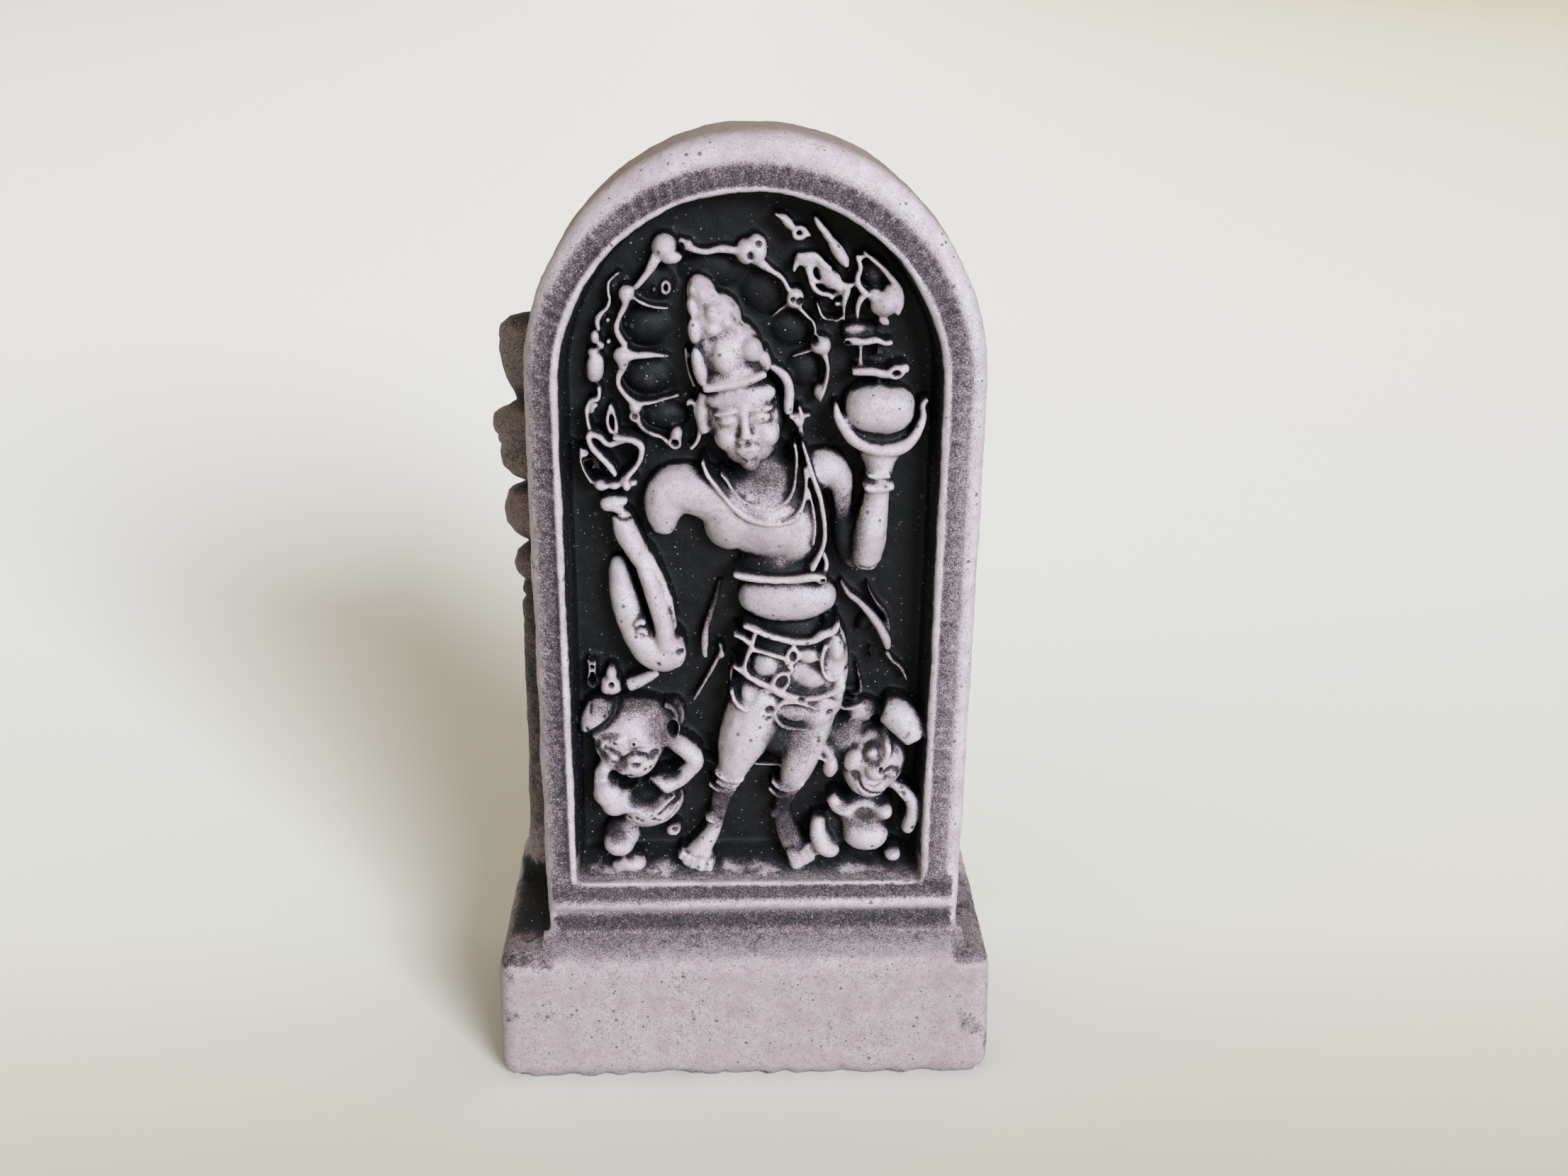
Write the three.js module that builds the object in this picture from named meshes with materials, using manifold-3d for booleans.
// Guardstone souvenir: a small stele in cast stone resin, in one piece.
// A naga king in a cobra hood stands with two dwarf attendants in an arched
// niche, on a deep plinth, with a turned post at each rear corner.
// Millimetres, +Z up, front towards -Y, origin under the middle of the plinth.

import * as THREE from 'three';
import { RoundedBoxGeometry } from 'three/addons/geometries/RoundedBoxGeometry.js';
import { mergeVertices } from 'three/addons/utils/BufferGeometryUtils.js';
import Module from 'manifold-3d';

const wasm = await Module();
wasm.setup();

// Driving dimensions. Heights are given from a level line on the plinth, and
// the plinth's foot lies PLINTH.drop below that line.
const PLINTH = { halfWidth: 26.3, halfDepth: 14, height: 13.8, drop: 1.5, edge: 1.5 };
const SLAB = { middle: 0.87, halfWidth: 21.75, spring: 74, crown: 97.3, front: -11, back: 1 };
const NICHE = { middle: 0.4, halfWidth: 18.2, sill: 21.2, spring: 74, crown: 92.3, depth: 5 };
const BORDER = { width: 1.3, depth: 0.35, ridge: 0.5 };
const LIP = { bottom: 17, recess: 1, footHeight: 1.1, footReach: 3 };
const POST = { left: -21.8, right: 20.8, y: 6 };
const REAR = { thickness: 3, top: 66, fillerHalfWidth: 17, baseHeight: 0.5 };

const NICHE_FLOOR = SLAB.front + NICHE.depth;
const ARCH_STEPS = 20;
const EMBED = 0.6;

// Every shape becomes a closed solid with shared corners before it is joined.
function solid(geometry) {
  const bare = geometry.clone();
  for (const name of Object.keys(bare.attributes)) {
    if (name !== 'position') bare.deleteAttribute(name);
  }
  const merged = mergeVertices(bare, 1e-4);
  return new wasm.Manifold(new wasm.Mesh({
    numProp: 3,
    vertProperties: new Float32Array(merged.attributes.position.array),
    triVerts: new Uint32Array(merged.index.array),
  }));
}

function join(solids) {
  return solids.reduce((whole, next) => whole.add(next));
}

function block(x0, x1, y0, y1, z0, z1, edge = 0) {
  const size = [x1 - x0, y1 - y0, z1 - z0];
  const geometry = edge > 0
    ? new RoundedBoxGeometry(...size, 2, edge)
    : new THREE.BoxGeometry(...size);
  geometry.translate((x0 + x1) / 2, (y0 + y1) / 2, (z0 + z1) / 2);
  return solid(geometry);
}

// An upright panel with straight sides and an elliptical arch on top.
function archShape(middle, halfWidth, bottom, spring, crown) {
  const shape = new THREE.Shape();
  shape.moveTo(middle - halfWidth, bottom);
  shape.lineTo(middle + halfWidth, bottom);
  shape.lineTo(middle + halfWidth, spring);
  shape.absellipse(middle, spring, halfWidth, crown - spring, 0, Math.PI, false);
  shape.closePath();
  return shape;
}

function archPanel(outline, front, back, bevel = 0) {
  const geometry = new THREE.ExtrudeGeometry(outline, {
    depth: back - front - 2 * bevel,
    curveSegments: ARCH_STEPS,
    bevelEnabled: bevel > 0,
    bevelSize: bevel,
    bevelOffset: -bevel,
    bevelThickness: bevel,
    bevelSegments: 2,
  });
  geometry.rotateX(Math.PI / 2);
  geometry.translate(0, back - bevel, 0);
  return solid(geometry);
}

// The arch's border repeats the niche's outline, moved outwards by a distance.
function nicheOutline(grow, bottom = NICHE.sill) {
  return archShape(NICHE.middle, NICHE.halfWidth + grow, bottom, NICHE.spring, NICHE.crown + grow);
}

// Relief: a rounded mass whose widest section lies at the niche floor, so that
// it leaves the mould. height is how far its top stands above the floor.
function mass(x, z, halfWidth, halfHeight, height, lean = 0, around = 12, along = 8) {
  const geometry = new THREE.SphereGeometry(1, around, along);
  geometry.scale(halfWidth, height, halfHeight);
  geometry.rotateY(THREE.MathUtils.degToRad(lean));
  geometry.translate(x, NICHE_FLOOR, z);
  return solid(geometry);
}

// A limb is a round-ended bar from one place to the next, with a half width
// and a height above the floor at each end.
function bar(from, to, around = 8) {
  const run = Math.hypot(to.x - from.x, to.z - from.z);
  const quarter = [0, 0.5, 1].map((share) => share * Math.PI / 2);
  const profile = [
    ...quarter.map((turn) => new THREE.Vector2(from.r * Math.sin(turn), -from.r * Math.cos(turn))),
    ...quarter.toReversed().map((turn) => new THREE.Vector2(to.r * Math.sin(turn), run + to.r * Math.cos(turn))),
  ];
  profile[0].x = 0;
  profile.at(-1).x = 0;
  const geometry = new THREE.LatheGeometry(profile, around);
  const place = geometry.attributes.position;
  for (let i = 0; i < place.count; i += 1) {
    const share = THREE.MathUtils.clamp(place.getY(i) / run, 0, 1);
    const half = THREE.MathUtils.lerp(from.r, to.r, share);
    const height = THREE.MathUtils.lerp(from.h, to.h, share);
    place.setZ(i, place.getZ(i) * height / half);
  }
  geometry.rotateX(Math.PI / 2);
  geometry.rotateY(-Math.atan2(to.z - from.z, to.x - from.x) + Math.PI / 2);
  geometry.translate(from.x, NICHE_FLOOR, from.z);
  return solid(geometry);
}

// A limb with several joints, given as [x, z, half width, height] at each one.
function limb(...joints) {
  const places = joints.map(([x, z, r, h]) => ({ x, z, r, h }));
  return join(places.slice(1).map((place, i) => bar(places[i], place)));
}

function plinth() {
  const { halfWidth, halfDepth, height, drop, edge } = PLINTH;
  return block(-halfWidth, halfWidth, -halfDepth, halfDepth, -drop, height, edge);
}

// The slab stands on a sloping foot, with a drip recess under its lower lip.
function slab() {
  const { middle, halfWidth, spring, crown, front, back } = SLAB;
  const outline = archShape(middle, halfWidth, LIP.bottom, spring, crown);
  const panel = archPanel(outline, front, back, 1.4);
  const root = block(middle - halfWidth, middle + halfWidth, front + LIP.recess, back,
    PLINTH.height - EMBED, LIP.bottom + 2 * EMBED);
  const rampProfile = new THREE.Shape();
  const rampBack = front + LIP.recess + EMBED;
  rampProfile.moveTo(rampBack, PLINTH.height - EMBED);
  rampProfile.lineTo(rampBack, PLINTH.height + LIP.footHeight);
  rampProfile.lineTo(front + LIP.recess, PLINTH.height + LIP.footHeight);
  rampProfile.lineTo(front + LIP.recess - LIP.footReach, PLINTH.height);
  rampProfile.lineTo(front + LIP.recess - LIP.footReach, PLINTH.height - EMBED);
  const ramp = new THREE.ExtrudeGeometry(rampProfile, { depth: 2 * halfWidth, bevelEnabled: false });
  ramp.rotateY(Math.PI / 2);
  ramp.rotateX(Math.PI / 2);
  ramp.translate(middle - halfWidth, 0, 0);
  return panel.add(root).add(solid(ramp));
}

function border() {
  const front = SLAB.front - EMBED;
  const { width, depth, ridge } = BORDER;
  const outside = archPanel(nicheOutline(ridge + width), front, SLAB.front + depth);
  const inside = archPanel(nicheOutline(ridge, NICHE.sill - 1), front - EMBED, SLAB.front + 2 * depth);
  return outside.subtract(inside);
}

function nicheHollow() {
  return archPanel(nicheOutline(0), SLAB.front - 2, NICHE_FLOOR);
}

// Rear wall and the plain filling that ties the slab to it.
function rearWall() {
  const wallFront = POST.y - REAR.thickness / 2;
  const wall = block(POST.left, POST.right, wallFront, wallFront + REAR.thickness,
    PLINTH.height - EMBED, REAR.top);
  const coping = block(POST.left, POST.right, wallFront - 0.5, wallFront + REAR.thickness + 0.5,
    REAR.top - 1.2, REAR.top + 0.6);
  const filler = block(-REAR.fillerHalfWidth, REAR.fillerHalfWidth, SLAB.back - EMBED,
    wallFront + EMBED, PLINTH.height - EMBED, REAR.top - 3);
  const base = block(POST.left - 3.2, POST.right + 3.2, POST.y - 4, POST.y + 5.5,
    PLINTH.height - EMBED, PLINTH.height + REAR.baseHeight);
  return join([wall, coping, filler, base]);
}

// A turned post: flared foot, shaft, three beads, a disc and a capped bud.
function post(x) {
  const foot = PLINTH.height - EMBED;
  const profile = [
    [0, foot], [3.6, foot], [3, 15.6], [2.5, 19], [2.4, 24.5], [2.1, 46.2], [1.6, 47], [2, 47.8],
    [1.7, 49], [2.6, 50], [2.6, 51.8], [0.9, 53.2], [2.6, 54.5], [3.4, 56.2], [3.3, 58.2], [0.9, 60.1],
    [2.8, 60.9], [3.6, 62.2], [3.4, 63.9], [3.5, 64.6], [4.1, 65], [4.1, 67.2], [1.6, 68.9],
    [2.6, 71.2], [3.2, 73.5], [3, 75.4], [2.1, 77], [0, 77.7],
  ].map(([r, z]) => new THREE.Vector2(r, z));
  const geometry = new THREE.LatheGeometry(profile, 16);
  geometry.rotateX(Math.PI / 2);
  geometry.translate(x, POST.y, 0);
  return solid(geometry);
}

// The cobra hood behind the head: lobes in a ring, with a small head on each.
function cobraHood() {
  const heads = [
    [-10.6, 71.1], [-11.6, 76.5], [-11.1, 82.2], [-7, 86.7], [0.5, 86.2], [4.6, 82], [6.9, 77.7], [7.1, 72.6],
  ];
  const middle = { x: -1.8, z: 75.5 };
  const shield = mass(middle.x, middle.z, 9.4, 11, 1.5, 0, 20, 6);
  const lobes = heads.map(([x, z]) => bar(
    { x: (x + 3 * middle.x) / 4, z: (z + 3 * middle.z) / 4, r: 1.6, h: 1.6 },
    { x: x * 0.86 + middle.x * 0.14, z: z * 0.86 + middle.z * 0.14, r: 2.3, h: 2.2 },
  ));
  const tips = heads.map(([x, z]) => mass(x, z, 1.3, 1.3, 3, 0, 8, 6));
  return join([shield, ...lobes, ...tips]);
}

function kingHead() {
  const head = mass(-0.2, 70.9, 3.7, 4.5, 4.9, -8);
  const neck = limb([0.4, 67, 2, 3.4], [1.6, 63.5, 2.4, 3.2]);
  const crown = limb([-0.9, 75.4, 3.2, 4], [-4.9, 83.3, 0.8, 3]);
  const leaves = [[-4.6, 76.8], [-2.3, 77], [0.6, 77.4]].map(([x, z]) => mass(x, z, 1.4, 1.7, 4.4, 0, 8, 6));
  const lobeRight = limb([3.7, 74.2, 0.7, 2.6], [4, 71.2, 0.7, 2.6]);
  const lobeLeft = limb([-4.6, 72, 0.7, 2.6], [-5.2, 67.9, 0.8, 2.6]);
  return join([head, neck, crown, ...leaves, lobeRight, lobeLeft]);
}

function kingBody() {
  const chest = mass(2.1, 61.2, 6.6, 5, 3.8, 4, 14);
  const shoulders = limb([-6.9, 63.6, 2.3, 3.4], [1.5, 63.4, 2.9, 3.6], [8.4, 65, 2.2, 2.6]);
  const waist = mass(3.3, 56.5, 4.6, 3.4, 3);
  const belly = mass(4, 52.3, 4.9, 4.2, 4);
  const hips = mass(4.5, 45.3, 5.7, 5.6, 4);
  const sashBelt = limb([-0.2, 49.3, 0.8, 4.2], [4, 48, 0.9, 4.5], [8.7, 49.8, 0.8, 4.2]);
  const thighLeft = limb([1.6, 42, 3.1, 4], [-1.2, 33.8, 1.9, 3.8], [-2.2, 30.5, 1.5, 3.2], [-3, 26.4, 1, 2.8]);
  const thighRight = limb([6.6, 41.5, 2.9, 3.8], [5.5, 34, 2, 3.6], [4.6, 30.5, 1.5, 3.2], [4, 27, 1, 2.8]);
  const footLeft = limb([-3.2, 25.6, 1, 3], [-5, 22.6, 1.5, 3.8]);
  const footRight = limb([4.2, 26.4, 1, 3], [6.1, 22.6, 1.5, 3.8]);
  const skirt = mass(2.2, 37.2, 4.6, 4.6, 3);
  return join([
    chest, shoulders, waist, belly, hips, sashBelt, thighLeft, thighRight, footLeft, footRight, skirt,
  ]);
}

// The right hand holds a flower stalk, the left hand a brimming vase.
function kingArms() {
  const upperRight = limb([-7.6, 63.2, 2, 3.2], [-8.6, 59, 1.6, 2.6]);
  const forearmRight = limb([-12.8, 56, 1.5, 2.4], [-11.6, 50.6, 1.5, 3.4], [-8.9, 46.8, 1.9, 4.3]);
  const fist = mass(-8.6, 46.9, 2.3, 2.2, 4.8, 0, 10, 6);
  const stalk = limb([-12.2, 62.2, 1, 3.6], [-9.7, 55.4, 0.9, 4.2], [-7.9, 48, 0.8, 4.6]);
  const stalkBud = limb([-10, 44, 0.7, 2.2], [-13.5, 42.8, 1.1, 2.8]);
  const upperLeft = limb([8.6, 64.6, 1.8, 2.6], [9.9, 57.4, 1.5, 2]);
  const forearmLeft = limb([11.3, 56, 1.8, 3.4], [12.6, 63, 1.3, 4], [12.5, 67.4, 1.6, 4.2]);
  const palm = limb([12.5, 67, 1.7, 4], [12.5, 69.2, 3.2, 4]);
  const pot = mass(12.4, 71.8, 3.5, 2.6, 4.8);
  const potRim = limb([9.9, 75.2, 0.6, 3.4], [14.8, 75.6, 0.6, 3.4]);
  return join([upperRight, forearmRight, fist, stalk, stalkBud, upperLeft, forearmLeft, palm, pot, potRim]);
}

function flowers() {
  const lotus = limb([-12.6, 64.8, 2, 3], [-13, 68.2, 2.6, 3.2]);
  const lotusLeaves = limb([-14.2, 71.4, 0.8, 2.4], [-14.3, 76.4, 0.9, 2], [-13.2, 81.4, 0.5, 1.6]);
  const vaseBud = mass(12.3, 82.9, 2.2, 3.1, 3, 0, 10, 6);
  const vaseStem = limb([10.8, 76, 1, 2.6], [11.2, 79.6, 1.4, 2.6]);
  const curls = limb([8, 81.2, 1.1, 2], [7.2, 84.4, 1.5, 2.2], [4.3, 88.2, 0.9, 1.8]);
  const leaf = limb([9, 84.6, 0.6, 1.6], [6.6, 88.8, 0.4, 1.4]);
  return join([lotus, lotusLeaves, vaseBud, vaseStem, curls, leaf]);
}

function dwarfLeft() {
  const head = mass(-11, 35.6, 3.9, 3.6, 4.6);
  const cap = limb([-15.4, 38.6, 1.4, 3.4], [-8, 39.4, 1.3, 3.6]);
  const arm = limb([-7.7, 36.4, 0.9, 3], [-5.2, 33.9, 0.9, 3.2], [-8.3, 31.4, 1, 3.6]);
  const belly = mass(-9.8, 28.2, 3.1, 2.7, 4.2, 0, 10, 6);
  const shell = limb([-14.9, 31, 1.2, 3.6], [-12.6, 29, 1.7, 4.4]);
  const legs = limb([-12.9, 24.8, 1.8, 3.8], [-11.6, 22.2, 1.1, 3.6]);
  const kneeRight = limb([-9.2, 26, 1.3, 3.4], [-7.3, 24.6, 1.1, 3]);
  return join([head, cap, arm, belly, shell, legs, kneeRight]);
}

function dwarfRight() {
  const head = mass(13.2, 33.7, 3, 3.9, 4.6, 26);
  const cap = limb([14.2, 38, 1.6, 3.6], [17.2, 38, 1.5, 3.2]);
  const club = limb([9.1, 33.4, 1, 3], [11.2, 38.4, 0.6, 2.4]);
  const shoulders = limb([10.1, 28.4, 1.3, 3.6], [14.8, 28.1, 1.3, 3.6]);
  const belly = mass(12.7, 25.4, 2.7, 2.5, 4.2, 0, 10, 6);
  const armRight = limb([16.2, 30.4, 0.8, 3], [17.2, 28.4, 0.9, 3], [16.6, 25.6, 0.8, 3]);
  const armLeft = limb([8.2, 28.6, 0.9, 3], [8.3, 26, 0.9, 3.2], [9.6, 23.6, 0.9, 3.4]);
  const feet = limb([10.9, 22.4, 0.9, 3.4], [15.2, 22.8, 1, 3.8]);
  return join([head, cap, club, shoulders, belly, armRight, armLeft, feet]);
}

function sashes() {
  const left = limb([-2.8, 52.8, 0.6, 1.8], [-4.2, 45.6, 0.6, 1.6], [-5.3, 40, 0.4, 1.4]);
  const right = limb([9.9, 52.6, 0.6, 1.8], [13.7, 47.6, 0.6, 1.6], [16, 42.4, 0.4, 1.4]);
  return left.add(right);
}

function guardstone() {
  const stele = slab().subtract(nicheHollow()).subtract(border());
  const relief = join([
    cobraHood(), kingHead(), kingBody(), kingArms(), flowers(), dwarfLeft(), dwarfRight(), sashes(),
  ]);
  const insideNiche = archPanel(nicheOutline(EMBED, NICHE.sill - EMBED), SLAB.front - 1, SLAB.back - EMBED);
  const whole = stele
    .add(relief.intersect(insideNiche))
    .add(plinth())
    .add(rearWall())
    .add(post(POST.left))
    .add(post(POST.right));
  const { vertProperties, triVerts } = whole.getMesh();
  const geometry = new THREE.BufferGeometry();
  geometry.setAttribute('position', new THREE.BufferAttribute(vertProperties, 3));
  geometry.setIndex(new THREE.BufferAttribute(triVerts, 1));
  geometry.translate(0, 0, PLINTH.drop);
  geometry.computeVertexNormals();
  return geometry;
}

const resin = new THREE.MeshStandardMaterial({ color: 0xb3a9b3, roughness: 0.75, metalness: 0 });
const carved = new THREE.Mesh(guardstone(), resin);
carved.name = 'guardstone';

const group = new THREE.Group();
group.add(carved);

export default group;
